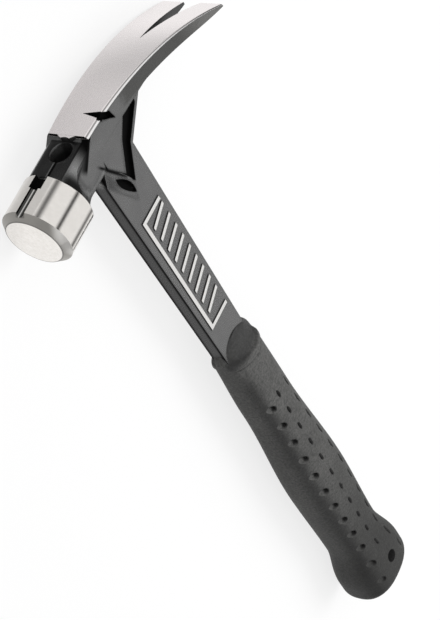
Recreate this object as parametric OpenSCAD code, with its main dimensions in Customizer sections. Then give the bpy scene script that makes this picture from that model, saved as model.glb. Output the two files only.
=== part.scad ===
// Framing hammer: one steel forging (poll, claw, shank and tang), a nail-starter
// magnet pressed into the neck, and a rubber grip moulded over the tang.
// It lies on its side. +Y runs along the handle towards the head, the poll
// strikes towards -X and the claw points towards +X.

/* [Overall] */
// Butt end to the highest point of the claw's curve
overall_len = 362; // [350:1:380]

/* [Poll] */
// Diameter of the polished striking poll
poll_d = 31; // [28:0.5:36]
// Length of the poll from the striking face to its rear rim
poll_len = 22.6; // [18:0.2:28]
// Size of the chamfer round the striking face
face_chamfer = 2.9; // [1.5:0.1:4]
// Height of the crown of the striking face
face_crown = 0.5; // [0.2:0.1:1]
// Size of the broken edge at the rear rim
rim_chamfer = 0.6; // [0.2:0.1:1.2]
// Handle axis to the striking face
strike_reach = 55.1; // [50:0.1:62]

/* [Claw] */
// Handle axis to the claw tips
claw_reach = 84.5; // [75:0.5:95]
// Radius of the curve along the top of the claw
claw_top_r = 174; // [150:1:220]
// Width over the claw tips
claw_tip_w = 31; // [28:0.5:36]
// Width of the head at the front edge of its top
head_front_w = 20.8; // [18:0.2:24]
// Thickness of the claw at its root
claw_root_t = 7.6; // [5:0.1:9]
// Thickness of the claw at its tips
claw_tip_t = 1.3; // [1.2:0.1:3]
// Length over which the claw thickens behind its tips
claw_taper = 16.4; // [12:0.2:24]
// Length of the nail slot
slot_len = 36; // [28:0.5:42]
// Width of the nail slot at the tips
slot_mouth_w = 8.6; // [6:0.1:11]
// Size of the bevel along the top edges at the front of the head
head_bevel = 1.5; // [0.8:0.1:2]
// Size of that bevel at the claw tips
tip_bevel = 0.5; // [0.3:0.1:1]

/* [Nail starter] */
// Width of the nail groove on top of the poll
groove_w = 4.2; // [3:0.1:5]
// Depth of the nail groove
groove_depth = 1.5; // [0.8:0.1:2]
// Length of the slot for the nail head, from the rear rim
notch_w = 6.8; // [4:0.1:8]
// Width of that slot across the poll
notch_len = 6.2; // [5:0.1:12]
// Depth of that slot
notch_depth = 3.4; // [2.4:0.1:4.5]
// Diameter of the magnet's bore
magnet_bore_d = 10.2; // [9:0.1:13]
// Depth of the magnet's bore below the neck's top
magnet_bore_depth = 11; // [8:0.1:13]
// Tilt of the bore towards the poll
magnet_tilt = 16; // [8:1:20]
// Height of the magnet
magnet_h = 4; // [3:0.1:6]
// Clearance between the magnet and its bore, on the radius
magnet_clear = 0.05; // [0.02:0.01:0.2]

/* [Shank] */
// Width of the shank under the head
shank_top_w = 24.8; // [22:0.2:28]
// Width of the shank where it enters the grip
shank_low_w = 20.8; // [18:0.2:24]
// Thickness of the shank
shank_t = 7.4; // [6:0.1:9]
// Height of the raised pattern on the shank
relief_h = 0.5; // [0.2:0.1:0.8]
// Number of slanted bars in the raised pattern
relief_bars = 9; // [5:1:12]

/* [Grip] */
// Length of the grip
grip_len = 210; // [190:1:216]
// Width of the grip at the flared butt
grip_butt_w = 41; // [36:0.5:46]
// Width of the grip above the butt
grip_neck_w = 31.8; // [29:0.2:36]
// Width of the grip at the palm swell
grip_palm_w = 34.4; // [32:0.2:40]
// Width of the grip at the waist
grip_waist_w = 28; // [26:0.2:32]
// Width of the grip at the collar
grip_collar_w = 26.6; // [24:0.2:30]
// Thickness of the grip at the butt
grip_butt_t = 31; // [26:0.5:34]
// Thickness of the grip above the butt
grip_neck_t = 24.4; // [22:0.2:28]
// Thickness of the grip at the palm swell
grip_palm_t = 26; // [23:0.2:30]
// Thickness of the grip at the waist
grip_waist_t = 21.4; // [19:0.2:25]
// Thickness of the grip at the collar
grip_collar_t = 18.2; // [17:0.2:23]
// Diameter of the lanyard hole
lanyard_d = 6.5; // [4:0.1:8]
// Handle end to the centre of the lanyard hole
lanyard_up = 19; // [16:0.2:26]

/* [Tang] */
// Width of the tang inside the grip
tang_w = 17; // [14:0.2:19]
// Thickness of the tang
tang_t = 6; // [4:0.1:7]
// Handle end to the end of the tang
tang_end_up = 9; // [8:0.5:12]
// Diameter of the holes that key the rubber to the tang
key_hole_d = 8; // [6:0.1:10]
// Gap between the rubber and the steel
mould_clear = 0.05; // [0.02:0.01:0.2]

/* [Hidden] */
$fn = 64;
// Overrun of every cut past the face it leaves
over = 1;

// Places in the side view: x from the handle axis, y from the butt end
head_top_y = overall_len;
// The poll's crest stands this much above the head's top
crest_rise = 0.8;
poll_y = head_top_y + crest_rise - poll_d / 2;
// Front edge of the head's top
head_front_x = -11.6;
// Highest point of the claw's curve
claw_peak_x = -7;
// Where the claw's underside leaves the cheek
claw_root_x = 28;
// Rear edge of the shank turns out here to carry the claw
gusset_y = head_top_y - 32.4;
gusset_top_x = 31.6;
gusset_top_y = head_top_y - 18.6;
// Where the fillet under the neck meets the front of the shank
throat_r = 7;
neck_low_d = 24;
throat_y = poll_y - neck_low_d / 2 - throat_r;
rear_rim_x = poll_len - strike_reach;

// Height of the claw's top at x
function claw_top(x) =
    head_top_y - claw_top_r + sqrt(pow(claw_top_r, 2) - pow(x - claw_peak_x, 2));
// Half the head's width at x, straight from the front edge to the tips
function head_half_w(x) =
    (head_front_w + (claw_tip_w - head_front_w) * (x - head_front_x)
    / (claw_reach - head_front_x)) / 2;
// Thickness of the claw at x
function claw_t(x) =
    claw_tip_t + (claw_root_t - claw_tip_t) * (1 - exp((x - claw_reach) / claw_taper));
// Underside of the head and claw at x
function claw_under(x) = claw_top(max(x, claw_root_x)) - claw_t(max(x, claw_root_x));
// Points of an arc by centre, radius and angles
function arc(c, r, a0, a1, n) =
    [for (i = [0:n]) [c[0] + r * cos(a0 + (a1 - a0) * i / n), c[1] + r * sin(a0 + (a1 - a0) * i / n)]];

// The lowest corner of the whole part's box goes to z = 0
lie_z = max(poll_d, claw_tip_w, grip_butt_t) / 2;
mid_x = (claw_reach - strike_reach) / 2;
mid_y = max(head_top_y, poll_y + poll_d / 2) / 2;

// Number of cross-sections along the head and claw
claw_steps = 40;

// Puts a piece drawn on the handle axis into the lying frame
module lie() {
    translate([-mid_x, -mid_y, lie_z]) children();
}

// A side view outline with a thickness, centred on the mid plane
module plate(t) {
    translate([0, 0, -t / 2]) linear_extrude(t) children();
}

// Head seen from above: a wedge, with its sides moved in by inset
module head_plan(inset) {
    front = head_front_x - over;
    tip = claw_reach + over;
    rotate([-90, 0, 0]) translate([0, 0, head_top_y - grip_len]) linear_extrude(grip_len + over)
        polygon([
            [front, head_half_w(front) - inset], [tip, head_half_w(tip) - inset],
            [tip, inset - head_half_w(tip)], [front, inset - head_half_w(front)]]);
}

// Cross-section of the head and claw at x, with both top edges bevelled
function claw_section(x) =
    let (w = head_half_w(x), top = claw_top(x), low = claw_under(x),
        b = head_bevel + (tip_bevel - head_bevel) * (x - head_front_x) / (claw_reach - head_front_x))
    [[x, low, -w], [x, top - b, -w], [x, top, b - w], [x, top, w - b], [x, top - b, w], [x, low, w]];

// Solid that joins cross-sections of equal count, in order
module loft(sections) {
    n = len(sections[0]);
    last = (len(sections) - 1) * n;
    polyhedron(
        points = [for (section = sections) each section],
        faces = concat(
            [[for (k = [0:n - 1]) k]],
            [for (i = [0:len(sections) - 2]) for (k = [0:n - 1])
                let (a = i * n + k, b = i * n + (k + 1) % n) each [[a, a + n, b], [b, a + n, b + n]]],
            [[for (k = [n - 1:-1:0]) last + k]]));
}

module claw_body() {
    loft([for (i = [0:claw_steps])
        claw_section(head_front_x + (claw_reach - head_front_x) * i / claw_steps)]);
}

// Side view of the raised cheek: its rear edge runs down to a point on the shank
cheek_rear_x = 8.8;
cheek_mid_x = 2.2;
cheek_mid_drop = 18;
cheek_point_x = -5.2;
cheek_point_drop = 30.5;
cheek_front_drop = 20.6;
// The cheeks lie this much inside the claw's faces
cheek_step = 0.1;
module cheek_outline() {
    polygon([
        [head_front_x + cheek_step, head_top_y - claw_root_t / 2],
        [claw_root_x, claw_top(claw_root_x) - claw_root_t / 2],
        [claw_root_x, claw_under(claw_root_x)],
        [cheek_rear_x, claw_under(cheek_rear_x)],
        [cheek_mid_x, head_top_y - cheek_mid_drop],
        [cheek_point_x, head_top_y - cheek_point_drop],
        [head_front_x + cheek_step, head_top_y - cheek_front_drop]]);
}

// Head block: claw, top and cheeks, and the lip of the top beside the magnet's bore
lip_reach = 1.5;
lip_w = 9;
lip_drop = 0.1;
module head_block() {
    claw_body();
    intersection() {
        plate(claw_tip_w + over) cheek_outline();
        head_plan(cheek_step);
    }
    rotate([-90, 0, 0]) translate([0, 0, head_top_y - claw_root_t]) linear_extrude(claw_root_t - lip_drop)
        polygon([
            [head_front_x + over, lip_w / 2], [head_front_x, lip_w / 2],
            [head_front_x - lip_reach, lip_w / 4], [head_front_x - lip_reach, -lip_w / 4],
            [head_front_x, -lip_w / 2], [head_front_x + over, -lip_w / 2]]);
}

// Poll turned about the strike axis, with its chamfers and crowned face
module poll() {
    r = poll_d / 2;
    flat_r = r - face_chamfer;
    crown_r = (pow(flat_r, 2) + pow(face_crown, 2)) / (2 * face_crown);
    crown_a = asin(flat_r / crown_r);
    crown = arc([0, poll_len - crown_r], crown_r, 90 - crown_a, 90, 6);
    translate([rear_rim_x, poll_y, 0]) rotate([0, -90, 0])
        rotate_extrude() polygon(concat(
            [[0, 0], [r - rim_chamfer, 0], [r, rim_chamfer],
             [r, poll_len - face_crown - face_chamfer]],
            crown));
}

// Neck between the poll and the head: flat sides, round above and below, with a flat top.
// It flares out to the poll's rear rim
neck_top_drop = 2.4;
neck_round_r = 14.6;
flare_len = 9;
neck_steps = 14;
// Length of the slope between the head's top and the neck
neck_slope = 5;
// Points on each round stretch of its section
neck_arc_points = 5;
function neck_flare(x) = pow(max(0, 1 - max(0, x - rear_rim_x) / flare_len), 2);
function neck_section(x) =
    let (w = head_front_w / 2 + (neck_round_r - over / 10 - head_front_w / 2) * neck_flare(x),
        low = neck_low_d / 2 + (neck_round_r - neck_low_d / 2) * neck_flare(x),
        side_a = acos(w / neck_round_r),
        top_a = asin((head_top_y - neck_top_drop - poll_y) / neck_round_r),
        step = (top_a - side_a) / neck_arc_points,
        under = 180 / (2 * neck_arc_points))
    concat(
        [for (i = [0:neck_arc_points]) let (a = 180 - side_a - i * step)
            [x, poll_y + neck_round_r * sin(a), neck_round_r * cos(a)]],
        [for (i = [0:neck_arc_points]) let (a = top_a - i * step)
            [x, poll_y + neck_round_r * sin(a), neck_round_r * cos(a)]],
        [for (i = [0:2 * neck_arc_points]) [x, poll_y - low * sin(i * under), w * cos(i * under)]]);
module neck() {
    loft([for (i = [0:neck_steps])
        neck_section(rear_rim_x - over / 2 + (head_front_x - rear_rim_x + over) * i / neck_steps)]);
    // Slope from the front edge of the head's top down to the neck
    plate(head_front_w - cheek_step) polygon([
        [head_front_x + over, poll_y], [head_front_x + over, head_top_y - head_bevel],
        [head_front_x, head_top_y - head_bevel],
        [head_front_x - neck_slope, head_top_y - neck_slope], [head_front_x - neck_slope, poll_y]]);
}

// Lower body that carries the neck and runs down into the shank, to a point behind the leaf recess
body_t = 16.4;
body_point = [-1.5, head_top_y - 54];
body_rear_x = 6.2;
body_front_rise = 0.5;
// Web under the neck, a little thinner than the shank
web_under_t = shank_t - 0.2;
module neck_body() {
    front_x = -shank_top_w / 2;
    hull() {
        plate(shank_t) polygon([
            [front_x, throat_y + body_front_rise], body_point, [body_rear_x, gusset_y],
            [front_x, gusset_y + throat_r]]);
        plate(body_t) polygon([
            [front_x, head_top_y - cheek_front_drop], [cheek_point_x, head_top_y - cheek_point_drop],
            [0, gusset_y + throat_r], [0, poll_y], [front_x, poll_y]]);
    }
    // Fillet under the neck
    plate(web_under_t) translate([front_x - throat_r, throat_y]) difference() {
        square(throat_r + over);
        circle(r = throat_r);
    }
}

// Shank with the gusset that runs out under the claw
module shank() {
    rear = shank_top_w / 2;
    plate(shank_t) polygon([
        [-shank_low_w / 2, grip_len - over], [shank_low_w / 2, grip_len - over],
        [rear, gusset_y], [gusset_top_x, gusset_top_y],
        [gusset_top_x + claw_root_t, claw_top(gusset_top_x) - claw_root_t / 2],
        [-rear, claw_under(head_front_x)], [-rear, throat_y]]);
}

// Deep recess between the cheek and the gusset's rear strip, one on each side
web_t = 3.6;
strip_w = 1.6;
web_low_x = 2.6;
web_low_drop = 45.4;
// Share of the gusset's rear edge that the strip follows
strip_share = 0.7;
module web_recess(side) {
    run = [gusset_top_x - shank_top_w / 2, gusset_top_y - gusset_y];
    across = [-run[1], run[0]] * strip_w / norm(run);
    translate([0, 0, side > 0 ? web_t / 2 : -web_t / 2 - body_t])
        linear_extrude(body_t) polygon([
            [cheek_point_x, head_top_y - cheek_point_drop],
            [web_low_x, head_top_y - web_low_drop],
            [shank_top_w / 2, gusset_y] + across,
            [shank_top_w / 2, gusset_y] + across + run * strip_share,
            [claw_root_x, claw_under(claw_root_x)],
            [cheek_rear_x, claw_under(cheek_rear_x)],
            [cheek_mid_x, head_top_y - cheek_mid_drop]]);
}

// Leaf-shaped recess under the cheek's point
leaf_len = 20;
leaf_w = 4;
leaf_lean = 26;
leaf_floor = 3.1;
leaf_x = -4.4;
leaf_rise = 1;
module leaf_recess(side) {
    r = (pow(leaf_len / 2, 2) + pow(leaf_w / 2, 2)) / leaf_w;
    translate([leaf_x, throat_y - throat_r + leaf_rise, side > 0 ? leaf_floor : -leaf_floor - body_t])
        rotate([0, 0, leaf_lean]) linear_extrude(body_t) intersection_for(x = [-1, 1])
            translate([x * (r - leaf_w / 2), 0]) circle(r = r);
}

// Raised pattern: a line along the front with two ends, and slanted bars
// Ends of the pattern, as shares of the bare shank's length
relief_end_shares = [0.12, 0.76];
relief_low_y = grip_len + (throat_y - grip_len) * relief_end_shares[0];
relief_high_y = grip_len + (throat_y - grip_len) * relief_end_shares[1];
relief_front_x = -7.6;
relief_rear_x = 8.2;
relief_line_w = 2;
relief_slant = 4;
module relief(side) {
    sink = relief_h;
    low = side > 0 ? shank_t / 2 - sink : -shank_t / 2 - relief_h;
    step = (relief_high_y - relief_low_y - relief_line_w) / (relief_bars + 1);
    translate([0, 0, low]) linear_extrude(relief_h + sink) {
        translate([relief_front_x, relief_low_y])
            square([relief_line_w, relief_high_y - relief_low_y]);
        for (y = [relief_low_y, relief_high_y - relief_line_w])
            translate([relief_front_x, y])
                square([relief_rear_x - relief_front_x, relief_line_w]);
        for (i = [1:relief_bars])
            translate([0, relief_low_y + i * step]) polygon([
                [relief_front_x + 2 * relief_line_w, 0],
                [relief_rear_x, relief_slant],
                [relief_rear_x, relief_slant + relief_line_w],
                [relief_front_x + 2 * relief_line_w, relief_line_w]]);
    }
}

// Places of the key holes along the tang, as shares of the grip's length
key_hole_shares = [0.32, 0.5, 0.68];
tang_hole_d = lanyard_d + key_hole_d / 2;

// Length of shank that the collar covers
collar_cover = 14;

// Tang inside the grip, grown by gap for the space in the rubber
module tang_blank(gap) {
    plate(tang_t + 2 * gap) hull() {
        translate([0, tang_end_up + tang_w / 2]) circle(d = tang_w + 2 * gap);
        translate([-tang_w / 2 - gap, grip_len - collar_cover])
            square([tang_w + 2 * gap, collar_cover + 2 * gap]);
    }
}

// Steel that the collar covers has the shank's own section
module covered_shank(gap) {
    plate(shank_t + 2 * gap) translate([-shank_low_w / 2 - gap, grip_len - collar_cover - gap])
        square([shank_low_w + 2 * gap, collar_cover + over + gap]);
}

// Keying holes and the larger hole round the lanyard bore
module tang_holes(gap) {
    for (s = key_hole_shares)
        translate([0, grip_len * s, -tang_w]) cylinder(h = 2 * tang_w, d = key_hole_d - 2 * gap);
    translate([0, lanyard_up, -tang_w]) cylinder(h = 2 * tang_w, d = tang_hole_d - 2 * gap);
}

// Groove for the nail, and the slot for its head across the rear of the poll
module nail_starter_cuts() {
    crest = poll_y + poll_d / 2;
    front = -strike_reach - over;
    r = (pow(groove_w / 2, 2) + pow(groove_depth, 2)) / (2 * groove_depth);
    translate([front, crest - groove_depth + r, 0]) rotate([0, 90, 0])
        cylinder(h = rear_rim_x - notch_w / 2 - front, r = r);
    translate([rear_rim_x - notch_w, crest - notch_depth, -notch_len / 2])
        cube([notch_w + over, notch_depth + over, notch_len]);
}

// Seat of the magnet: the bore's floor, on an axis that leans towards the poll
magnet_mouth_x = -18.6;
magnet_mouth_drop = 2.4;
module at_magnet() {
    translate([magnet_mouth_x, head_top_y - magnet_mouth_drop, 0]) rotate([0, 0, -magnet_tilt])
        translate([0, -magnet_bore_depth, 0]) rotate([-90, 0, 0]) children();
}
module magnet_bore() {
    at_magnet() cylinder(h = magnet_bore_depth + poll_d / 2, d = magnet_bore_d);
}

// V slot between the claw's tines
module claw_slot() {
    apex = claw_reach - slot_len;
    flare = slot_mouth_w / slot_len;
    rotate([-90, 0, 0]) translate([0, 0, gusset_y]) linear_extrude(poll_d + slot_len)
        polygon([
            [apex, 0], [claw_reach + over, (slot_len + over) * flare / 2],
            [claw_reach + over, -(slot_len + over) * flare / 2]]);
}

// Nail-puller notch through the upper edge of one side of the head
puller_w = 4.4;
puller_reach = 9.2;
puller_depth = 2.4;
puller_drop = 8;
// Outline of its tooth down the side, as shares of its width and drop
tooth_x_shares = [-0.5, 0.33, 0.33, 1, 1.25, 0.7, 0];
tooth_drop_shares = [-0.125, -0.125, 0.06, 0.33, 1, 0.7, 0.4];
module side_puller() {
    edge = head_half_w(0);
    // Wedge in the head's top, narrowing towards the middle
    translate([0, head_top_y - puller_depth, 0]) rotate([-90, 0, 0])
        linear_extrude(puller_depth + over) polygon([
            [0, puller_reach - edge], [puller_w / 2, -edge - over], [-puller_w / 2, -edge - over]]);
    translate([0, head_top_y, edge - puller_depth]) linear_extrude(puller_depth + over)
        polygon([for (i = [0:len(tooth_x_shares) - 1])
            [puller_w * tooth_x_shares[i], -puller_drop * tooth_drop_shares[i]]]);
}

module steel_forging() {
    color("dimgray") lie() difference() {
        union() {
            head_block();
            poll();
            neck();
            difference() {
                union() {
                    shank();
                    neck_body();
                }
                for (side = [-1, 1]) web_recess(side);
            }
            covered_shank(0);
            tang_blank(0);
            for (side = [-1, 1]) relief(side);
        }
        for (side = [-1, 1]) leaf_recess(side);
        tang_holes(0);
        nail_starter_cuts();
        magnet_bore();
        claw_slot();
        side_puller();
    }
}

module nail_magnet() {
    r = magnet_bore_d / 2 - magnet_clear;
    color("silver") lie() at_magnet() rotate_extrude() polygon([
        [0, 0], [r, 0], [r, magnet_h - rim_chamfer], [r - rim_chamfer, magnet_h],
        [0, magnet_h]]);
}

// Grip stations from the butt up, as shares of the grip's length
grip_station_shares = [0.07, 0.2, 0.44, 0.76, 1];
grip_widths = [grip_butt_w, grip_neck_w, grip_palm_w, grip_waist_w, grip_collar_w];
grip_thicks = [grip_butt_t, grip_neck_t, grip_palm_t, grip_waist_t, grip_collar_t];
// Drift of the section's centre towards the striking side, as shares of its width
grip_lean_shares = [-0.027, -0.027, -0.016, 0, 0.024];
butt_round = 8;
collar_round = 9;
// Length of the collar's slope down to the shank
collar_slope = 12;
// Rubber on each side of the shank at the collar's end
collar_edge_t = 0.5;
grip_power = 2.4;
grip_sides = 40;
grip_rings = 46;

// Smooth step between a and b
function ease(a, b, t) = a + (b - a) * t * t * (3 - 2 * t);
// Value at share s from a list of values at the stations
function at_station(v, s, i = 0) =
    s <= grip_station_shares[0] ? v[0]
    : i >= len(v) - 2 || s <= grip_station_shares[i + 1]
    ? ease(v[i], v[i + 1], min(1, (s - grip_station_shares[i])
        / (grip_station_shares[i + 1] - grip_station_shares[i])))
    : at_station(v, s, i + 1);
// Inset of an end that is rounded by r, at distance d from that end
function end_inset(r, d) = d >= r ? 0 : r - sqrt(max(0, r * r - pow(r - d, 2)));
// Height of ring i, closer together at both ends
function ring_y(i) = grip_len * (1 - cos(180 * i / (grip_rings - 1))) / 2;
function sgn_pow(v, p) = sign(v) * pow(abs(v), p);
function grip_half_w(y) =
    at_station(grip_widths, y / grip_len) / 2
    - end_inset(butt_round, y) - end_inset(collar_round, grip_len - y);
function grip_half_t(y) = min(
    at_station(grip_thicks, y / grip_len) / 2 - end_inset(butt_round, y),
    shank_t / 2 + collar_edge_t
    + (grip_collar_t - shank_t) / 2 * (grip_len - y) / collar_slope);
function grip_lean(y) = at_station(grip_lean_shares, y / grip_len) * grip_butt_w;
function grip_ring(y) = [for (k = [0:grip_sides - 1])
    let (a = -360 * k / grip_sides)
    [grip_lean(y) + grip_half_w(y) * sgn_pow(cos(a), 2 / grip_power), y,
     grip_half_t(y) * sgn_pow(sin(a), 2 / grip_power)]];

module grip_skin() {
    loft([for (i = [0:grip_rings - 1]) grip_ring(ring_y(i))]);
}

module grip() {
    color("#2b2b2b") lie() difference() {
        grip_skin();
        difference() {
            union() {
                tang_blank(mould_clear);
                covered_shank(mould_clear);
            }
            tang_holes(mould_clear);
        }
        translate([0, lanyard_up, -grip_butt_t]) cylinder(h = 2 * grip_butt_t, d = lanyard_d);
    }
}

steel_forging();
nail_magnet();
grip();
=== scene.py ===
"""Looks of the framing hammer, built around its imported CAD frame, in metres.

The sizes and places of the hammer are in millimetres from ORIGIN, where x runs from the poll to the claw,
y up the handle from its butt end, and z from the mid plane to the near side. The stage is in metres.
"""

import math

import bpy
import numpy as np
from mathutils import Matrix, Vector

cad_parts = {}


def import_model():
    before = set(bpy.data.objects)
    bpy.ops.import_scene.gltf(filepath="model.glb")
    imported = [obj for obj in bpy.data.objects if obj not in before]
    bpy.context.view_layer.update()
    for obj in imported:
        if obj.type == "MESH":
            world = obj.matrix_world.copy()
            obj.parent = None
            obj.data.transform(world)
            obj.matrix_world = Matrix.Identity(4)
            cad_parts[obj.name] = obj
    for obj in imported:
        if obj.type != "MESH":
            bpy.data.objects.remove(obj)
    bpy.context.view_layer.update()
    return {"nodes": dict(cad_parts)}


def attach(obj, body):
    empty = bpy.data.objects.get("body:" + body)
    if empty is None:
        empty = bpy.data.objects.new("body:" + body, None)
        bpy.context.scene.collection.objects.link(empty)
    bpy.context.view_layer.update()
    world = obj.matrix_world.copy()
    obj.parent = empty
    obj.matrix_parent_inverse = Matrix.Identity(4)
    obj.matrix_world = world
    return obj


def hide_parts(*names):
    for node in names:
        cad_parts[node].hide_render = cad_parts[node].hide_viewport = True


MM = 0.001
# Handle axis, butt end and mid plane of the hammer, in the frame of the CAD part
ORIGIN = Vector((-14.7, -181.4, 15.5)) * MM

# Poll, which lies along x
POLL_Y = 347.3
POLL_R = 15.5
POLL_REAR_X = -32.5
# Radii between which a dark line runs round the striking face
FACE_LINE = (12.3, 12.8)
# Nail groove along the top of the poll: half width, and height of its foot above the poll's axis
GROOVE_HALF_W = 2.15
GROOVE_FOOT = 13.8
# Slot across the rear end of the groove
CROSS_SLOT_X = -39.4
CROSS_SLOT_HALF_LEN = 3.15
CROSS_SLOT_FOOT = 11.9

# Bore of the magnet: a place on its axis, and the axis's turn from +Y
BORE_PLACE = (-18.6, 359.6)
BORE_TURN = 16.0
BORE_R = 5.2
# Heights between which the bore falls into shade
BORE_SHADE_Y = (358.5, 354.5)

# Head and claw, whose top is an arc
HEAD_TOP_Y = 362.0
HEAD_FRONT_X = -11.6
HEAD_FRONT_HALF_W = 10.4
# Half width that the head gains for each mm towards the claw
HEAD_FLARE = 0.0531
CLAW_TOP_R = 174.0
CLAW_PEAK_X = -7.0
CLAW_REACH = 84.5
# Lip of the head's top that reaches over the bore
LIP_REACH = 1.6
LIP_HALF_W = 4.65
# Width of the bevels along the top at x = 0, and its loss for each mm towards the tips
BEVEL_W = 1.38
BEVEL_LOSS = 0.0104
# Where the coat is ground off: from the head towards the claw, and down from the top
GROUND_X = (9.0, 17.0)
GROUND_DEPTH = (9.0, 7.2)
# Stretches of the claw with tones of their own: its middle, its tips, and where its sides turn lighter
CLAW_MIDDLE_X = (20.0, 55.0)
CLAW_TIPS_X = (30.0, CLAW_REACH)
SIDES_LIGHT_X = (52.0, 78.0)
# Nail slot between the claws, and its half width for each mm from its start
SLOT_START_X = 48.5
SLOT_HALF_FLARE = 0.1194

# Nail puller cut into the near edge of the top
PULLER_X = (-2.4, 5.9)
PULLER_Y = (353.6, 361.9)
PULLER_Z = 1.5
PULLER_FRONT_X = 1.2
PULLER_SLOPE = 1.45

# Recess on each side of the web between the cheek and the gusset
WEB_X = (-7.0, 31.0)
WEB_Y = (316.0, 352.5)
WEB_HALF_T = 3.65
# Direction that the outer edge of the gusset faces
GUSSET_WAY = (0.59, -0.80)

# Painted shade in the leaf-shaped recess below the cheek: its middle, turn from +Y, half length, half width
# and taper
LEAF_PLACE = (-4.4, 322.3)
LEAF_TURN = -23.0
LEAF_HALF_LEN = 10.4
LEAF_HALF_W = 1.55
LEAF_TAPER = 0.7

# Neck and cheeks, whose coated edges are the roundest
NECK_X = (4.0, 0.0)
NECK_Y = (306.0, 312.0)
NECK_Z = (3.8, 4.2)

# Raised pattern on the shank
RELIEF_X = (-8.0, 9.0)
RELIEF_Y = (222.0, 301.0)
RELIEF_FOOT = 4.0

# Shallow channel between the poll's slot and the bore: where it ends
CHANNEL_END_X = -23.2

# IOR of the coat, of its dull faces, and of a surface that mirrors next to nothing
COAT_IOR = 1.6
DULL_IOR = 1.2
NO_GLOSS_IOR = 1.05

# Grip and lanyard hole
GRIP_LEN = 210.0
SHANK_HALF_T = 3.7
LANYARD_PLACE = (0.0, 19.0)
LANYARD_R = 3.25
# Heights between which the rubber's painted shade comes and goes: in the collar's dish, towards the butt at
# the middle of the grip, and at the upper end of the shaded front flank
DISH_Y = (196.5, 199.5)
BUTT_SHADE_Y = (130.0, 25.0)
FLANK_TOP_Y = (195.0, 180.0)


# Node trees


class Nodes:
    """Short names for the maths of a node tree. A value is a socket, a number or a colour."""

    def __init__(self, tree):
        self.tree = tree

    def node(self, kind, **settings):
        made = self.tree.nodes.new(kind)
        for key, value in settings.items():
            setattr(made, key, value)
        return made

    def link(self, a, b):
        self.tree.links.new(a, b)

    def put(self, socket, value):
        if isinstance(value, (int, float)):
            socket.default_value = value
        elif isinstance(value, tuple):
            socket.default_value = (*value, 1.0)[: len(socket.default_value)]
        else:
            self.link(value, socket)

    def split(self, vector):
        made = self.node("ShaderNodeSeparateXYZ")
        self.link(vector, made.inputs[0])
        return made.outputs

    def math(self, op, *values):
        made = self.node("ShaderNodeMath", operation=op)
        for socket, value in zip(made.inputs, values):
            self.put(socket, value)
        return made.outputs[0]

    def plus(self, a, b):
        return self.math("ADD", a, b)

    def minus(self, a, b):
        return self.math("SUBTRACT", a, b)

    def times(self, *values):
        out = values[0]
        for value in values[1:]:
            out = self.math("MULTIPLY", out, value)
        return out

    def either(self, *values):
        """The largest of the values."""
        out = values[0]
        for value in values[1:]:
            out = self.math("MAXIMUM", out, value)
        return out

    def invert(self, a):
        return self.minus(1.0, a)

    def size(self, a):
        return self.math("ABSOLUTE", a)

    def length(self, a, b):
        return self.math("SQRT", self.plus(self.times(a, a), self.times(b, b)))

    def step(self, value, low, high):
        """0 below low and 1 above high, smooth between. With low above high it falls."""
        made = self.node("ShaderNodeMapRange", interpolation_type="SMOOTHSTEP")
        self.put(made.inputs["Value"], value)
        flip = low > high
        made.inputs["From Min"].default_value = min(low, high)
        made.inputs["From Max"].default_value = max(low, high)
        made.inputs["To Min"].default_value = 1.0 if flip else 0.0
        made.inputs["To Max"].default_value = 0.0 if flip else 1.0
        return made.outputs[0]

    def between(self, value, low, high, soft):
        """1 from low to high and 0 outside, with soft as half the width of each edge."""
        rise = self.step(value, low - soft, low + soft)
        return self.times(rise, self.step(value, high + soft, high - soft))

    def mix(self, share, a, b):
        """The number a, with b in place of it where share is 1."""
        made = self.node("ShaderNodeMix", data_type="FLOAT")
        for socket, value in zip((made.inputs[0], made.inputs[2], made.inputs[3]), (share, a, b)):
            self.put(socket, value)
        return made.outputs[0]

    def paint(self, share, under, over):
        """The colour under, with over in place of it where share is 1."""
        made = self.node("ShaderNodeMix", data_type="RGBA")
        for socket, value in zip((made.inputs[0], made.inputs[6], made.inputs[7]), (share, under, over)):
            self.put(socket, value)
        return made.outputs[2]


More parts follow.
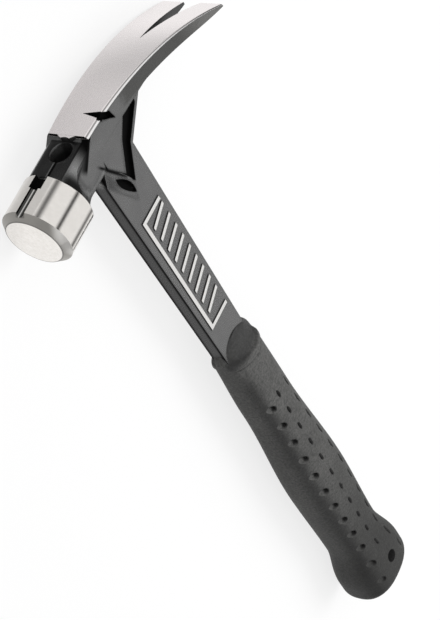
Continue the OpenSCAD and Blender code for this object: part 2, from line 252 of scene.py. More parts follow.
class Material(Nodes):
    """A Principled material that knows each point's place in mm from ORIGIN, and its normal."""

    def __init__(self, name):
        self.mat = bpy.data.materials.new(name)
        self.mat.use_nodes = True
        super().__init__(self.mat.node_tree)
        self.shader = self.tree.nodes["Principled BSDF"]
        moved = self.node("ShaderNodeVectorMath", operation="SUBTRACT")
        self.link(self.node("ShaderNodeTexCoord").outputs["Object"], moved.inputs[0])
        moved.inputs[1].default_value = ORIGIN
        scaled = self.node("ShaderNodeVectorMath", operation="SCALE")
        self.link(moved.outputs[0], scaled.inputs[0])
        scaled.inputs["Scale"].default_value = 1 / MM
        self.place = scaled.outputs[0]
        self.x, self.y, self.z = self.split(self.place)
        self.nx, self.ny, self.nz = self.split(self.node("ShaderNodeNewGeometry").outputs["Normal"])
        self.off_mid = self.size(self.z)
        self.sideways = self.size(self.nz)

    def set(self, name, value):
        """Gives a value to an input of the Principled shader."""
        self.put(self.shader.inputs[name], value)

    def noise(self, scale, detail=3.0, stretch=(1, 1, 1), rough=0.5):
        """Noise over places in mm: scale is in features per mm."""
        mapping = self.node("ShaderNodeMapping")
        self.link(self.place, mapping.inputs["Vector"])
        mapping.inputs["Scale"].default_value = stretch
        made = self.node("ShaderNodeTexNoise")
        self.link(mapping.outputs[0], made.inputs["Vector"])
        made.inputs["Scale"].default_value = scale
        made.inputs["Detail"].default_value = detail
        made.inputs["Roughness"].default_value = rough
        return made.outputs["Fac"]

    def spread(self, noise, low=0.0, high=1.0):
        """Noise around 0.5 mapped onto low to high."""
        made = self.node("ShaderNodeMapRange")
        self.put(made.inputs["Value"], noise)
        for key, number in (("From Min", 0.3), ("From Max", 0.7), ("To Min", low), ("To Max", high)):
            made.inputs[key].default_value = number
        return made.outputs[0]

    def rotated(self, place, degrees):
        """Distances along and across a direction that is turned by degrees from +Y, about a place."""
        a = math.radians(degrees)
        x = self.minus(self.x, place[0])
        y = self.minus(self.y, place[1])
        along = self.plus(self.times(x, math.sin(a)), self.times(y, math.cos(a)))
        across = self.minus(self.times(x, math.cos(a)), self.times(y, math.sin(a)))
        return along, across

    def round_edges(self, radius):
        """A normal that turns round the edges. The radius is in mm."""
        made = self.node("ShaderNodeBevel", samples=6)
        self.put(made.inputs["Radius"], self.times(radius, MM))
        return made.outputs[0]

    def corner_shade(self, reach, full=0.45):
        """1 in a corner that leaves full of the sky open, and 0 on an open face. reach is in mm."""
        made = self.node("ShaderNodeAmbientOcclusion", samples=8, only_local=True)
        made.inputs["Distance"].default_value = reach * MM
        return self.step(made.outputs["AO"], 0.95, full)

    def bump(self, height, size, normal=None):
        """Raises the surface by height times size, in mm."""
        made = self.node("ShaderNodeBump")
        made.inputs["Strength"].default_value = 1.0
        made.inputs["Distance"].default_value = size * MM
        self.link(height, made.inputs["Height"])
        if normal is not None:
            self.link(normal, made.inputs["Normal"])
        return made.outputs[0]


def grey(level):
    return (level, level, level)


BLACK = grey(0.003)
WHITE = grey(1.0)


# Regions of the forging, each a share from 0 to 1


def below_head_top(t):
    """Depth below the arc of the head's top, in mm."""
    across = t.minus(t.x, CLAW_PEAK_X)
    rise = t.math("SQRT", t.minus(CLAW_TOP_R**2, t.times(across, across)))
    return t.minus(t.plus(rise, HEAD_TOP_Y - CLAW_TOP_R), t.y)


def head_half_width(t):
    return t.plus(t.times(t.minus(t.x, HEAD_FRONT_X), HEAD_FLARE), HEAD_FRONT_HALF_W)


def poll_regions(t):
    """The polished poll, its chamfer and face line, its nail groove and the slot across the groove."""
    above_axis = t.minus(t.y, POLL_Y)
    radius = t.length(above_axis, t.z)
    poll = t.step(t.x, POLL_REAR_X + 0.12, POLL_REAR_X + 0.02)
    sunk = t.times(t.step(radius, POLL_R - 0.08, POLL_R - 0.2), poll)
    groove = t.times(
        sunk,
        t.between(t.z, -GROOVE_HALF_W, GROOVE_HALF_W, soft=0.04),
        t.step(above_axis, GROOVE_FOOT, GROOVE_FOOT + 0.1),
        t.step(t.nx, -0.9, -0.5),
    )
    cross_slot = t.times(
        sunk,
        t.step(t.x, CROSS_SLOT_X, CROSS_SLOT_X + 0.2),
        t.between(t.z, -CROSS_SLOT_HALF_LEN, CROSS_SLOT_HALF_LEN, soft=0.05),
        t.step(above_axis, CROSS_SLOT_FOOT, CROSS_SLOT_FOOT + 0.15),
    )
    chamfer = t.times(poll, t.between(t.nx, -0.92, -0.4, soft=0.04))
    face_line = t.times(poll, t.between(radius, *FACE_LINE, soft=0.12), t.step(t.nx, -0.6, -0.8))
    return {
        "poll": poll,
        "chamfer": chamfer,
        "face_line": face_line,
        "groove": groove,
        "cross_slot": cross_slot,
    }


def inside_bore(t):
    """Where shade is painted in the magnet's bore: its wall and floor, apart from the wall that catches the
    light.
    """
    across = t.rotated(BORE_PLACE, BORE_TURN)[1]
    near_axis = t.step(t.length(across, t.z), BORE_R, BORE_R - 0.14)
    lit_wall = t.times(t.step(t.nx, 0.35, 0.8), 0.8)
    return t.times(near_axis, t.step(t.y, *BORE_SHADE_Y), t.invert(lit_wall))


def web_recess(t):
    """Where shade is painted in the recess behind the cheek, without the outer edge of the gusset."""
    outwards = t.plus(t.times(t.nx, GUSSET_WAY[0]), t.times(t.ny, GUSSET_WAY[1]))
    return t.times(
        t.between(t.x, *WEB_X, soft=0.3),
        t.between(t.y, *WEB_Y, soft=0.3),
        t.step(t.off_mid, WEB_HALF_T + 0.05, WEB_HALF_T - 0.05),
        t.invert(t.step(outwards, 0.3, 0.6)),
    )


def leaf_recess(t):
    """Where shade is painted in the recess below the cheek, wider at its lower end."""
    along, across = t.rotated(LEAF_PLACE, LEAF_TURN)
    share = t.times(along, 1 / LEAF_HALF_LEN)
    blade = t.either(t.minus(LEAF_HALF_W, t.times(share, LEAF_TAPER)), 0.0)
    half = t.times(t.minus(1.0, t.times(share, share)), blade)
    return t.step(t.minus(half, t.size(across)), 0.0, 0.35)


def side_puller(t):
    """Where shade is painted in the cut of the nail puller in the near edge of the head's top."""
    depth = below_head_top(t)
    from_edge = t.minus(head_half_width(t), t.z)
    return t.times(
        t.step(t.minus(t.x, t.times(depth, PULLER_SLOPE)), PULLER_FRONT_X + 0.1, PULLER_FRONT_X - 0.1),
        t.between(t.x, *PULLER_X, soft=0.05),
        t.between(t.y, *PULLER_Y, soft=0.05),
        t.step(t.z, PULLER_Z - 0.1, PULLER_Z + 0.1),
        t.step(from_edge, 0.2, 0.3),
        t.step(depth, 0.1, 0.3),
    )


def claw_slot(t):
    """Walls of the slot between the claws, where shade is painted as a darker grey."""
    edge = t.times(t.minus(t.x, SLOT_START_X), SLOT_HALF_FLARE)
    return t.times(
        t.step(t.minus(edge, t.off_mid), -0.25, -0.1),
        t.step(t.x, SLOT_START_X - 0.3, SLOT_START_X),
        t.step(t.sideways, 0.5, 0.8),
    )


def head_top(t):
    """Ground top of the head and claw, with the lip over the bore."""
    lip_end = HEAD_FRONT_X - LIP_REACH
    lip = t.times(
        t.step(t.x, lip_end - 0.02, lip_end + 0.05),
        t.step(t.off_mid, LIP_HALF_W + 0.05, LIP_HALF_W - 0.05),
    )
    on_head = t.either(t.step(t.x, HEAD_FRONT_X - 0.05, HEAD_FRONT_X), lip)
    return t.times(t.step(below_head_top(t), 1.55, 1.48), on_head, t.step(t.ny, 0.3, 0.5))


def bevel_lines(t):
    """Painted shade as a dark line and a painted highlight as a bright line along the bevels of the head's
    top.
    """
    width = t.minus(BEVEL_W, t.times(t.x, BEVEL_LOSS))
    inwards = t.math("DIVIDE", t.minus(head_half_width(t), t.off_mid), width)
    on_bevel = t.times(
        t.between(t.ny, 0.45, 0.86, soft=0.05),
        t.step(below_head_top(t), 1.75, 1.6),
        t.step(t.x, HEAD_FRONT_X - 0.1, HEAD_FRONT_X + 0.1),
    )
    dark = t.times(on_bevel, t.between(inwards, 0.45, 0.75, soft=0.1))
    return dark, t.times(on_bevel, t.step(inwards, 0.4, 0.3))


def ground_claw(t):
    """The claw from its top down, where the coat is ground off. The coat ends at a ragged line."""
    ragged = t.spread(t.noise(0.5), -1.5, 1.5)
    return t.times(t.step(t.plus(t.x, ragged), *GROUND_X), t.step(below_head_top(t), *GROUND_DEPTH))


def relief(t):
    """Upper faces of the shank's raised pattern."""
    return t.times(
        t.step(t.off_mid, RELIEF_FOOT, RELIEF_FOOT + 0.1),
        t.between(t.x, *RELIEF_X, soft=0.1),
        t.between(t.y, *RELIEF_Y, soft=0.1),
        t.step(t.sideways, 0.6, 0.8),
    )


def steel_regions(t):
    """Where each finish of the forging is, by name."""
    part = poll_regions(t)
    # Painted shade, near black, in the poll's cross slot, the recesses, the nail puller's cut and the
    # magnet's bore
    recesses = (web_recess(t), leaf_recess(t), side_puller(t), inside_bore(t))
    part["unlit"] = t.either(part["cross_slot"], *recesses)
    part["slot"] = claw_slot(t)
    part["top"] = head_top(t)
    part["bevel_shade"], part["bevel_highlight"] = bevel_lines(t)
    part["claw"] = ground_claw(t)
    part["relief"] = relief(t)
    return part


# Coat of the forging


def shade_line(t, place, degrees, reach, fade, low_z):
    """Painted shade as a dark line on the near side, through a place at degrees from +Y, which fades on both
    sides.
    """
    along, across = t.rotated(place, degrees)
    line = t.times(t.step(across, -fade[0], 0), t.step(across, fade[1], 0))
    ends = t.step(t.size(along), reach, 0.7 * reach)
    return t.times(line, ends, t.step(t.z, low_z - 0.5, low_z + 0.5))


def painted_shade_lines(t):
    """Painted shade under the cheek, from the head's corner down the neck, below the shoulder and before the
    poll's rim.
    """
    cheek = shade_line(t, (-8.7, 336.2), degrees=149.8, reach=15.0, fade=(1.0, 1.3), low_z=5.0)
    corner = shade_line(t, (-14.6, 357.2), degrees=232.0, reach=11.0, fade=(0.8, 8.5), low_z=7.0)
    shoulder = shade_line(t, (-25.0, 355.6), degrees=266.0, reach=9.0, fade=(2.0, 1.4), low_z=9.0)
    rim = t.times(t.step(t.x, POLL_REAR_X + 6.5, POLL_REAR_X + 1.5), t.step(t.z, 7.0, 10.0))
    return t.either(cheek, corner, t.times(shoulder, 0.8), t.times(rim, 0.85))


def shoulder_light(t):
    """1 on the rounded shoulders of the neck, where a highlight is painted."""
    along_neck = t.between(t.x, POLL_REAR_X + 4.5, BORE_PLACE[0] + 0.6, soft=3.5)
    return t.times(t.between(t.ny, 0.45, 0.9, soft=0.12), t.step(t.sideways, 0.3, 0.5), along_neck)


def nail_channel(t):
    """Painted highlight on one side and painted shade on the other, along the shallow channel between the
    poll's slot and the bore.
    """
    on_neck = t.times(t.between(t.x, POLL_REAR_X, CHANNEL_END_X, soft=0.1), t.step(t.ny, 0.8, 0.9))
    bright = t.times(on_neck, t.between(t.z, -0.75, -0.1, soft=0.12))
    return bright, t.times(on_neck, t.between(t.z, -0.05, 1.1, soft=0.2))


def coat(t):
    """Colour and IOR of the black oxide coat, dull on its upper and front faces. Its colour holds painted
    light: a painted sheen on the side faces, painted shade on the upper faces and along the front faces'
    edges, painted highlights on the neck's shoulders and on one side of the nail channel, and painted shade,
    black, in creases and corners.
    """
    blotch = t.spread(t.noise(0.12, 4.0))
    front = t.step(t.nx, -0.75, -0.95)
    # Painted light by facing: the side faces lighter as a painted sheen, the upper faces darker as painted
    # shade, and the front faces painted black as shade towards their edges
    on_front = t.paint(t.step(t.off_mid, 0.6, 3.2), grey(0.030), BLACK)
    side_sheen = t.paint(blotch, grey(0.038), (0.058, 0.058, 0.057))
    on_top = t.paint(blotch, BLACK, grey(0.018))
    colour = t.paint(t.step(t.sideways, 0.3, 0.75), t.paint(front, on_top, on_front), side_sheen)
    # Painted highlight on the neck's shoulders
    colour = t.paint(shoulder_light(t), colour, (0.24, 0.24, 0.238))
    channel_highlight, channel_shade = nail_channel(t)
    # Painted highlight on one side of the nail channel
    colour = t.paint(channel_highlight, colour, grey(0.16))
    # Painted shade, black: on one side of the nail channel, in creases and in corners
    shade = t.either(channel_shade, painted_shade_lines(t), t.corner_shade(1.6))
    dull = t.either(t.step(t.ny, 0.8, 0.95), front)
    front_edges = t.times(front, t.step(t.off_mid, 1.8, 3.0))
    gloss = t.mix(dull, COAT_IOR, t.mix(front_edges, DULL_IOR, NO_GLOSS_IOR))
    return t.paint(shade, colour, BLACK), t.mix(shade, gloss, NO_GLOSS_IOR)


# Materials


def groove_colour(t):
    """Grey walls of the nail groove with a painted highlight as a bright line between them, and painted
    shade, black, on its far side.
    """
    colour = t.paint(t.step(t.z, -1.7, -1.4), grey(0.004), (0.09, 0.09, 0.085))
    # Painted highlight along the middle of the groove
    colour = t.paint(t.between(t.z, -0.9, -0.4, soft=0.12), colour, (0.8, 0.79, 0.77))
    return t.paint(t.step(t.z, 0.5, 0.9), colour, grey(0.04))


def poll_colour(t, part, lathe):
    """Polished steel with a grey chamfer, and a painted highlight at the chamfer's near end."""
    colour = t.paint(t.spread(lathe), (0.83, 0.80, 0.765), (0.91, 0.88, 0.845))
    colour = t.paint(t.spread(t.noise(0.25), 0, 0.10), colour, (0.45, 0.42, 0.38))
    # Painted highlight at the near end of the chamfer
    chamfer = t.paint(t.step(t.z, 11.0, 14.0), (0.43, 0.415, 0.39), (0.90, 0.88, 0.85))
    colour = t.paint(part["chamfer"], colour, chamfer)
    return t.paint(part["face_line"], colour, (0.16, 0.155, 0.15))


def claw_colour(t, fine):
    """Ground steel, darker towards the head."""
    colour = t.paint(t.spread(fine), (0.16, 0.16, 0.156), (0.25, 0.247, 0.24))
    darker = t.times(t.invert(t.step(t.x, *SIDES_LIGHT_X)), 0.62)
    return t.paint(darker, colour, (0.04, 0.04, 0.039))


def top_colour(t, brushed):
    """Satin steel, darker half way along the claw and at its tips."""
    darker = (0.50, 0.495, 0.49)
    colour = t.paint(t.spread(brushed), (0.95, 0.895, 0.895), (0.98, 0.93, 0.925))
    colour = t.paint(t.times(t.between(t.x, *CLAW_MIDDLE_X, soft=12.0), 0.25), colour, darker)
    return t.paint(t.times(t.step(t.x, *CLAW_TIPS_X), 0.2), colour, darker)


def steel_normal(t, part, metal, lathe, brushed):
    """Fine tool marks, and round edges: roundest on the coated neck and head, sharpest on bare metal."""
    marks = t.times(t.mix(part["poll"], brushed, lathe), t.mix(part["top"], 0.15, 0.04))
    height = t.mix(metal, t.noise(1.6), marks)
    neck = t.times(t.step(t.x, *NECK_X), t.step(t.y, *NECK_Y), t.step(t.off_mid, *NECK_Z))
    edge_r = t.mix(metal, t.mix(neck, 1.3, 2.6), 0.3)
    return t.bump(height, 0.012, t.round_edges(edge_r))


def forged_steel():
    t = Material("forged_steel")
    part = steel_regions(t)
    fine = t.noise(2.5, 2.0)
    lathe = t.noise(1.1, stretch=(8.0, 0.6, 0.6))
    brushed = t.noise(1.3, stretch=(0.15, 3.0, 3.0))

    colour, gloss = coat(t)
    layers = {
        "claw": claw_colour(t, fine),
        "top": top_colour(t, brushed),
        # Painted shade and painted highlight along the bevels of the head's top
        "bevel_shade": (0.30, 0.295, 0.29),
        "bevel_highlight": (0.97, 0.965, 0.96),
        "poll": poll_colour(t, part, lathe),
        "relief": (0.90, 0.89, 0.87),
        "groove": groove_colour(t),
        # Painted shade on the walls of the slot between the claws
        "slot": grey(0.10),
        # Painted shade in the slots, recesses and bore
        "unlit": grey(0.006),
    }
    for region, over in layers.items():
        colour = t.paint(part[region], colour, over)

    bare = t.either(part["claw"], part["top"], part["poll"], part["relief"])
    metal = t.times(bare, t.invert(part["unlit"]))
    rough = t.mix(metal, t.spread(fine, 0.22, 0.30), t.spread(brushed, 0.22, 0.34))
    rough = t.mix(part["poll"], rough, t.spread(lathe, 0.11, 0.16))
    rough = t.mix(t.either(part["chamfer"], part["groove"]), rough, 0.45)

    t.set("Base Color", colour)
    t.set("Metallic", metal)
    t.set("Roughness", t.mix(part["unlit"], rough, 0.7))
    t.set("IOR", t.mix(part["unlit"], gloss, NO_GLOSS_IOR))
    t.set("Specular IOR Level", 1.0)
    t.set("Normal", steel_normal(t, part, metal, lathe, brushed))
    return t.mat


def magnet_plate():
    t = Material("magnet")
    t.set("Base Color", t.paint(t.noise(1.5), grey(0.5), (0.62, 0.62, 0.61)))
    t.set("Metallic", 1.0)
    t.set("Roughness", t.spread(t.noise(2.0), 0.28, 0.42))
    t.set("Normal", t.bump(t.noise(3.0), 0.01, t.round_edges(0.2)))
    return t.mat


def rubber_shade(t, colour):
    """The rubber's colour with painted shade: darker in the collar's dish, at the butt, in corners and on the
    front flank.
    """
    # Painted shade in the dish, towards the butt and the front, in corners and on the front flank
    dish = t.times(t.step(t.y, *DISH_Y), t.step(t.z, 2.0, 4.0))
    colour = t.paint(t.times(dish, 0.7), colour, grey(0.030))
    lower = t.step(t.minus(t.y, t.times(t.x, 1.5)), *BUTT_SHADE_Y)
    colour = t.paint(t.times(lower, 0.75), colour, (0.026, 0.026, 0.025))
    colour = t.paint(t.corner_shade(2.4, 0.62), colour, grey(0.004))
    flank = t.times(t.between(t.nx, -0.86, -0.42, soft=0.2), t.step(t.nz, 0.0, 0.3))
    below_collar = t.step(t.y, *FLANK_TOP_Y)
    return t.paint(t.times(flank, below_collar, 0.65), colour, grey(0.012))


def grip_rubber():
    t = Material("grip_rubber")
    mottle = t.noise(0.8, 5.0, rough=0.7)
    fine = t.noise(1.8)
    colour = t.paint(t.spread(t.noise(0.06)), (0.112, 0.111, 0.107), (0.150, 0.149, 0.144))
    colour = t.paint(t.spread(mottle), colour, (0.046, 0.046, 0.045))
    colour = rubber_shade(t, colour)
    # Painted shade, near black, on the wall of the lanyard hole
    from_lanyard = t.length(t.minus(t.x, LANYARD_PLACE[0]), t.minus(t.y, LANYARD_PLACE[1]))
    bore = t.step(from_lanyard, LANYARD_R + 0.15, LANYARD_R + 0.05)
    t.set("Base Color", t.paint(bore, colour, grey(0.006)))
    t.set("Roughness", t.spread(fine, 0.55, 0.75))
    t.set("Specular IOR Level", 0.4)
    t.set("Normal", t.bump(t.plus(fine, mottle), 0.22))
    return t.mat


# Grip

# Width, thickness and sideways lean of the grip at these shares of its length, with eased curves between
STATIONS = (0.07, 0.2, 0.44, 0.76, 1.0)
WIDTHS = (41.0, 31.8, 34.4, 28.0, 26.6)
THICKNESSES = (31.0, 24.4, 26.0, 21.4, 18.2)
LEANS = (-1.1, -1.1, -0.66, 0.0, 0.98)
# Exponent of the section, which is an ellipse with flattened sides
POWER = 2.4
BUTT_ROUND = 8.0
COLLAR_ROUND = 9.0
COLLAR_SLOPE = 12.0
COLLAR_EDGE_T = 0.5
# Rows of scoops. share is the place across the grip of the lowest and of the highest one, in half widths from
# its middle. low is the y of the lowest. round and long are half lengths, round the section and along the
# grip, and deep is the depth at the steep wall
SCOOP_ROWS = (
    {"share": (-0.58, -0.62), "low": 15.3, "pitch": 13.45, "count": 12,
     "round": 3.2, "long": 2.4, "deep": 1.8},
    {"share": (-0.02, -0.08), "low": 34.6, "pitch": 13.15, "count": 11,
     "round": 0.9, "long": 2.9, "deep": 1.4},
    {"share": (0.56, 0.60), "low": 15.1, "pitch": 13.45, "count": 12,
     "round": 1.1, "long": 4.0, "deep": 1.6},
)
# A scoop leans towards the head by this much for each mm towards the front, where it also narrows
SCOOP_LEAN = 0.35
SCOOP_NARROWING = 0.45
# Width of a scoop's soft rim, as a share of its half lengths
SCOOP_RIM = 0.3
# Height at which the scoops start to grow deeper, and how much further up they have their whole depth
SCOOP_GROW_Y = (10.0, 45.0)
# Raised lip round the collar: its lowest place, its rise for each mm from there, half width and height
COLLAR_LIP = {"x": 3.7, "y": 194.9, "front_rise": 0.26, "rear_rise": 0.18, "half": 1.7, "height": 0.45}
DISH_DEPTH = 1.1
SEAM_DEPTH = 0.25
GRIP_RINGS = 760
GRIP_SIDES = 400
# How far the rings crowd towards both ends, from 0 to 1
RING_CROWDING = 0.25


def smooth(t):
    t = np.clip(t, 0, 1)
    return t * t * (3 - 2 * t)


def at_station(values, share):
    out = np.full_like(share, values[0])
    for i in range(len(values) - 1):
        t = (share - STATIONS[i]) / (STATIONS[i + 1] - STATIONS[i])
        out += (values[i + 1] - values[i]) * smooth(t)
    return out


def end_inset(r, d):
    """How far an end rounded by r stands in from the side, at a distance d from the end."""
    d = np.clip(d, 0, r)
    return r - np.sqrt(np.maximum(0, r * r - (r - d) ** 2))


def section_sizes(y):
    """Half width, half thickness and lean of the grip at y."""
    share = y / GRIP_LEN
    from_top = GRIP_LEN - y
    butt = end_inset(BUTT_ROUND, y)
    half_w = at_station(WIDTHS, share) / 2 - butt - end_inset(COLLAR_ROUND, from_top)
    slope = (THICKNESSES[-1] / 2 - SHANK_HALF_T) * from_top / COLLAR_SLOPE
    half_t = np.minimum(at_station(THICKNESSES, share) / 2 - butt, SHANK_HALF_T + COLLAR_EDGE_T + slope)
    return half_w, half_t, at_station(LEANS, share)


def signed_power(v, p):
    return np.sign(v) * np.abs(v) ** p


def scoop_depth(around, y):
    """Depth of the scoops at height y, and at a length round the section from its crest to the rear.

    A scoop deepens towards its steep rear wall. The lowest scoops are about half as deep as the others.
    """
    depth = np.zeros_like(y)
    for row in SCOOP_ROWS:
        low_share, high_share = row["share"]
        for i in range(row["count"]):
            centre_y = row["low"] + i * row["pitch"]
            share = low_share + (high_share - low_share) * i / (row["count"] - 1)
            half_w = section_sizes(np.array([centre_y]))[0][0]
            du = (around - math.asin(share) * half_w) / row["round"]
            narrow = 1 - SCOOP_NARROWING * np.clip(-du, 0, 1)
            dy = (y - centre_y + SCOOP_LEAN * du * row["round"]) / (row["long"] * narrow)
            inside = smooth((1 - np.sqrt(du * du + dy * dy)) / SCOOP_RIM)
            to_rear = np.clip((1 + du) / 1.6, 0, 1)
            grown = 0.5 + 0.5 * smooth((centre_y - SCOOP_GROW_Y[0]) / SCOOP_GROW_Y[1])
            depth = np.maximum(depth, row["deep"] * grown * inside * to_rear)
    return depth


def collar_relief(x, y):
    """Height of the raised lip round the collar, less the dish above it and the seam below it."""
    half = COLLAR_LIP["half"]
    to_front = np.maximum(COLLAR_LIP["x"] - x, 0)
    to_rear = np.maximum(x - COLLAR_LIP["x"], 0)
    middle = COLLAR_LIP["y"] + COLLAR_LIP["front_rise"] * to_front + COLLAR_LIP["rear_rise"] * to_rear
    off = y - middle
    lip = COLLAR_LIP["height"] * smooth(1.4 - np.abs(off) / half)
    dish = DISH_DEPTH * smooth((off - half + 0.3) / 1.2) * smooth((GRIP_LEN - 2 - y) / 7)
    seam = SEAM_DEPTH * smooth(1 - np.abs(off + half + 0.8) / 0.7)
    return lip - dish - seam


def grip_mesh():
    rings, sides = GRIP_RINGS, GRIP_SIDES
    even = np.linspace(0, GRIP_LEN, rings)
    crowded = GRIP_LEN * (1 - np.cos(np.linspace(0, math.pi, rings))) / 2
    heights = (1 - RING_CROWDING) * even + RING_CROWDING * crowded
    turns = np.linspace(0, 2 * math.pi, sides, endpoint=False)
    y, turn = np.meshgrid(heights, turns, indexing="ij")
    half_w, half_t, lean = section_sizes(y)
    across = signed_power(np.cos(turn), 2 / POWER)
    up = signed_power(np.sin(turn), 2 / POWER)
    around = np.arcsin(np.clip(across, -1, 1)) * half_w
    # The lip fades out where the grip turns to its front and rear edges, and no scoop crosses them
    facing = smooth((np.abs(up) - 0.25) / 0.4)
    depth = scoop_depth(around, y) * (np.abs(up) > 0.05) - collar_relief(half_w * across, y) * facing
    shrink = 1 - depth / np.maximum(half_t, 1)
    points = np.stack([lean + half_w * across * shrink, y, half_t * up * shrink], -1).reshape(-1, 3)
    faces = []
    for i in range(rings - 1):
        for k in range(sides):
            p = i * sides + k
            q = i * sides + (k + 1) % sides
            faces.append((p, p + sides, q + sides, q))
    faces.append(tuple(range(sides)))
    faces.append(tuple((rings - 1) * sides + k for k in reversed(range(sides))))
    return points, faces


def cylinder_mesh(place, r, half_len, sides=64):
    """Cylinder along z."""
    turns = [2 * math.pi * k / sides for k in range(sides)]
    ring = [(place[0] + r * math.cos(a), place[1] + r * math.sin(a)) for a in turns]
    points = [(x, y, z) for z in (-half_len, half_len) for x, y in ring]
    faces = [(k, (k + 1) % sides, sides + (k + 1) % sides, sides + k) for k in range(sides)]
    faces += [tuple(reversed(range(sides))), tuple(range(sides, 2 * sides))]
    return points, faces


def add_mesh(name, points, faces, material):
    data = bpy.data.meshes.new(name)
    data.from_pydata([Vector(p) * MM + ORIGIN for p in points], [], faces)
    data.polygons.foreach_set("use_smooth", [True] * len(data.polygons))
    data.materials.append(material)
    data.update()
    obj = bpy.data.objects.new(name, data)
    bpy.context.scene.collection.objects.link(obj)
    return obj


def bake_modifiers(obj):
    """Turns the modifiers into plain geometry."""
    graph = bpy.context.evaluated_depsgraph_get()
    data = bpy.data.meshes.new_from_object(obj.evaluated_get(graph))
    obj.modifiers.clear()
    obj.data = data


def make_grip(material):
    grip = add_mesh("rubber_grip", *grip_mesh(), material)
    cutter = add_mesh("lanyard_cutter", *cylinder_mesh(LANYARD_PLACE, LANYARD_R, THICKNESSES[0]), material)
    cut = grip.modifiers.new("lanyard", "BOOLEAN")
    cut.operation = "DIFFERENCE"
    cut.solver = "EXACT"
    cut.object = cutter
    bake_modifiers(grip)
    bpy.data.objects.remove(cutter)
    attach(grip, "root")
    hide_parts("grip")


# Stage, in metres

CAMERA_PLACE = Vector((-0.42989, 0.7155, 0.53495))
CAMERA_RIGHT = Vector((0.4078, -0.3830, 0.8289))
CAMERA_UP = Vector((0.7986, 0.5896, -0.1205))
CAMERA_LENS = 123.28
KEY_LIGHT = {"place": (0.75, -0.35, 1.2), "size": 1.0, "power": 10.0}
# Brightness of the studio in reflections, and what is left of it in its dark gaps: across z, across y and
# round the direction that the rounded front edges of the shank mirror
STUDIO_LEVEL = 0.88
LOW_GAP = {"centre": 0.22, "width": 0.24, "level": 0.15}
HIGH_GAP = {"centre": 0.10, "width": 0.17, "level": 0.0}
EDGE_GAP = {"centre": 0.0, "width": 0.5, "level": 0.02}
EDGE_GAP_WAY = (-0.55, -0.71, 0.44)
# Share of the floor's white that the lamps make, so that the rest shows in a shadow too
FLOOR_LIT = 0.22
# Level of the floor's own white in reflections on its far side, and the stretch in mm from ORIGIN, past the
# head, over which it falls to that
FLOOR_FAR = 0.52
FLOOR_FAR_Y = (350.0, 372.0)
FLOOR_HALF = 3.0
# The floor lies this much below the hammer, so that their faces don't meet
FLOOR_GAP = 0.0002


def make_camera():
    data = bpy.data.cameras.new("camera")
    data.lens = CAMERA_LENS
    data.sensor_width = 36.0
    data.clip_start = 0.01
    data.clip_end = 20.0
    camera = bpy.data.objects.new("camera", data)
    right = CAMERA_RIGHT.normalized()
    back = right.cross(CAMERA_UP).normalized()
    turn = Matrix((right, back.cross(right), back)).transposed().to_4x4()
    camera.matrix_world = Matrix.Translation(CAMERA_PLACE) @ turn
    bpy.context.scene.collection.objects.link(camera)
    bpy.context.scene.camera = camera


def gap(n, value, centre, width, level):
    """1 away from centre and level at it."""
    off = n.step(n.size(n.minus(value, centre)), 0.0, width)
    return n.mix(off, level, 1.0)


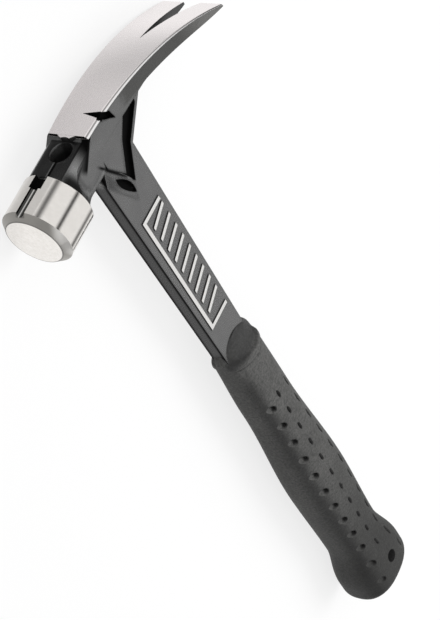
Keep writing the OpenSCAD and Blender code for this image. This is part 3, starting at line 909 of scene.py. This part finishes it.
def make_world():
    """White to the camera. Reflections see a pale studio with dark gaps between its soft boxes."""
    world = bpy.data.worlds.new("studio")
    bpy.context.scene.world = world
    world.use_nodes = True
    world.node_tree.nodes.clear()
    n = Nodes(world.node_tree)
    way = n.node("ShaderNodeTexCoord").outputs["Generated"]
    from_edge = n.node("ShaderNodeVectorMath", operation="DISTANCE")
    n.link(way, from_edge.inputs[0])
    from_edge.inputs[1].default_value = EDGE_GAP_WAY
    y, z = n.split(way)[1:3]
    edge_gap = gap(n, from_edge.outputs["Value"], **EDGE_GAP)
    gaps = n.times(gap(n, z, **LOW_GAP), gap(n, y, **HIGH_GAP), edge_gap)
    studio = n.node("ShaderNodeBackground")
    n.put(studio.inputs["Color"], WHITE)
    n.put(studio.inputs["Strength"], n.times(gaps, STUDIO_LEVEL))
    white = n.node("ShaderNodeBackground")
    n.put(white.inputs["Color"], WHITE)
    n.put(white.inputs["Strength"], 1.0)
    mix = n.node("ShaderNodeMixShader")
    n.link(n.node("ShaderNodeLightPath").outputs["Is Camera Ray"], mix.inputs[0])
    n.link(studio.outputs[0], mix.inputs[1])
    n.link(white.outputs[0], mix.inputs[2])
    n.link(mix.outputs[0], n.node("ShaderNodeOutputWorld").inputs["Surface"])


def make_light(name, place, size, power):
    """Round lamp aimed at the frame's origin. Metal doesn't mirror it."""
    data = bpy.data.lights.new(name, "AREA")
    data.shape = "DISK"
    data.size = size
    data.energy = power
    light = bpy.data.objects.new(name, data)
    light.location = place
    light.visible_glossy = False
    light.rotation_mode = "QUATERNION"
    light.rotation_quaternion = (-Vector(place)).to_track_quat("-Z", "Y")
    bpy.context.scene.collection.objects.link(light)


def floor_white():
    """White of which the camera and reflections see a part that no shadow falls on, so shadows are faint."""
    t = Material("floor")
    path = t.node("ShaderNodeLightPath")
    level = t.mix(t.step(t.y, *FLOOR_FAR_Y), 1.0, FLOOR_FAR)
    seen = t.either(path.outputs["Is Camera Ray"], t.times(path.outputs["Is Glossy Ray"], level))
    t.set("Base Color", grey(FLOOR_LIT))
    t.set("Roughness", 0.9)
    t.set("Specular IOR Level", 0.0)
    t.set("Emission Color", WHITE)
    t.set("Emission Strength", t.times(seen, 1 - FLOOR_LIT))
    return t.mat


def make_floor():
    data = bpy.data.meshes.new("floor")
    signs = ((-1, -1), (1, -1), (1, 1), (-1, 1))
    data.from_pydata([(x * FLOOR_HALF, y * FLOOR_HALF, 0) for x, y in signs], [], [(0, 1, 2, 3)])
    data.materials.append(floor_white())
    floor = bpy.data.objects.new("floor", data)
    floor.location.z = -FLOOR_GAP
    bpy.context.scene.collection.objects.link(floor)


def dress(obj, material):
    obj.data.materials.clear()
    obj.data.materials.append(material)


def main():
    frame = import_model()
    bpy.context.scene.view_settings.view_transform = "Standard"
    make_camera()
    make_world()
    make_light("key", **KEY_LIGHT)
    make_floor()
    dress(frame["nodes"]["steel_forging"], forged_steel())
    dress(frame["nodes"]["nail_magnet"], magnet_plate())
    make_grip(grip_rubber())


main()
